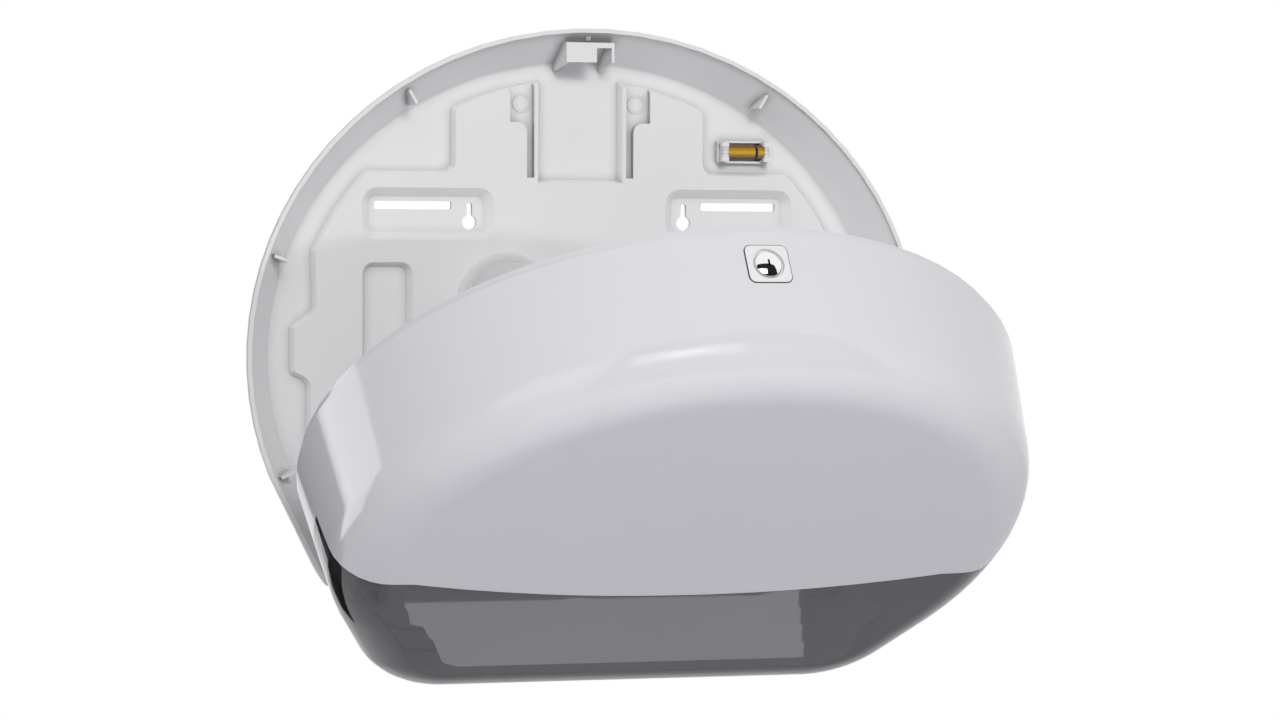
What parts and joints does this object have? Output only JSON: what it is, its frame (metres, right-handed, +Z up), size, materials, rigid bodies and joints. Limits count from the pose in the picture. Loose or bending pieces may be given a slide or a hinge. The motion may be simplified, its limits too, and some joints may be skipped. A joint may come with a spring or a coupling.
{
  "type": "jumbo roll toilet paper dispenser",
  "caption": "Round wall dispenser for a jumbo roll: dished back plate with spindles, bubble level and catch, and a hinged bowed cover with smoked window, toothed exit and key lock.",
  "frame": {"origin": "the rear face of the back plate's middle channel, in the plane of the wall, 140 mm above the centre of the round body", "axes": "+X to the right seen from the front, +Y into the wall, +Z up"},
  "size_m": [0.4366, 0.3432, 0.393],
  "materials": {
    "plate_white": "satin moulded",
    "cover_white": "gloss",
    "frame_white": "satin",
    "smoke_plastic": "clear smoked gloss",
    "spindle_white": "satin",
    "lock_white": "satin gloss",
    "chrome": "polished",
    "zinc_steel": "zinc plated",
    "clear_plastic": "clear gloss",
    "amber_liquid": "clear liquid",
    "black_marking": "matt",
    "pin_nylon": "matt"
  },
  "bodies": {
    "plate": {"back_plate": "plate_white", "main_spindle": "spindle_white", "main_spindle_screw": "zinc_steel", "stub_spindle": "spindle_white", "stub_spindle_screw": "zinc_steel", "level_vial": "clear_plastic", "level_ring": "black_marking", "level_liquid": "amber_liquid", "level_end_cap": "lock_white", "hinge_pin_left": "pin_nylon", "hinge_pin_right": "pin_nylon"},
    "cover": {"cover_shell": "cover_white", "cover_window": "smoke_plastic", "exit_frame": "frame_white", "frame_screw_1": "zinc_steel", "frame_screw_2": "zinc_steel", "frame_screw_3": "zinc_steel", "frame_screw_4": "zinc_steel", "lock_housing": "lock_white", "lock_backing_disc": "zinc_steel", "lock_nut": "zinc_steel"},
    "lock": {"lock_barrel": "chrome", "lock_cam": "zinc_steel", "cam_screw": "zinc_steel"}
  },
  "joints": [
    {"name": "cover_hinge", "type": "hinge", "parent": "plate", "child": "cover", "pos_m": [0, -0.049, -0.273], "axis": [1, 0, 0], "range_deg": [-53.7, 0]},
    {"name": "lock_turn", "type": "hinge", "parent": "cover", "child": "lock", "pos_m": [0, -0.31787, -0.08207], "axis": [0, -0.8669, 0.4985], "range_deg": [0, 30]}
  ]
}
